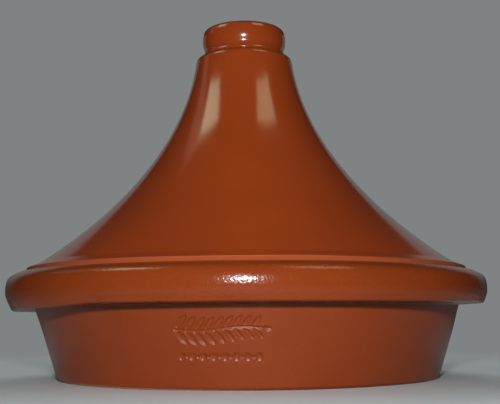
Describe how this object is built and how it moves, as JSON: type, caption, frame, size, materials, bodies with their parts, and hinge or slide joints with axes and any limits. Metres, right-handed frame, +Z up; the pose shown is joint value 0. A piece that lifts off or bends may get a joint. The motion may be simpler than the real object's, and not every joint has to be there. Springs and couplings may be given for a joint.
{
  "type": "tagine pot",
  "caption": "Glazed terracotta cooking pot: a wide low dish with a thick rolled rim, and a tall concave cone lid with a flat round knob that sits in the rim's gallery.",
  "frame": {"origin": "centre of the foot ring, on the surface that the dish stands on", "axes": "+Z up along the turning axis of dish and lid; -Y towards the front, the side that carries the small impressed ornament"},
  "size_m": [0.32, 0.32, 0.2415],
  "materials": {
    "dish_terracotta": "orange-brown terracotta under a thin clear glaze: glossy orange-peel on the rim, satin and finely speckled on the wall",
    "lid_terracotta": "orange-brown terracotta under a smooth glossy clear glaze"
  },
  "bodies": {
    "dish": {"base_dish": "dish_terracotta"},
    "lid": {"lid": "lid_terracotta"}
  },
  "joints": [
    {"name": "lid_lift", "type": "slide", "parent": "dish", "child": "lid", "axis": [0, 0, 1], "range_m": [0, 0.2]}
  ]
}
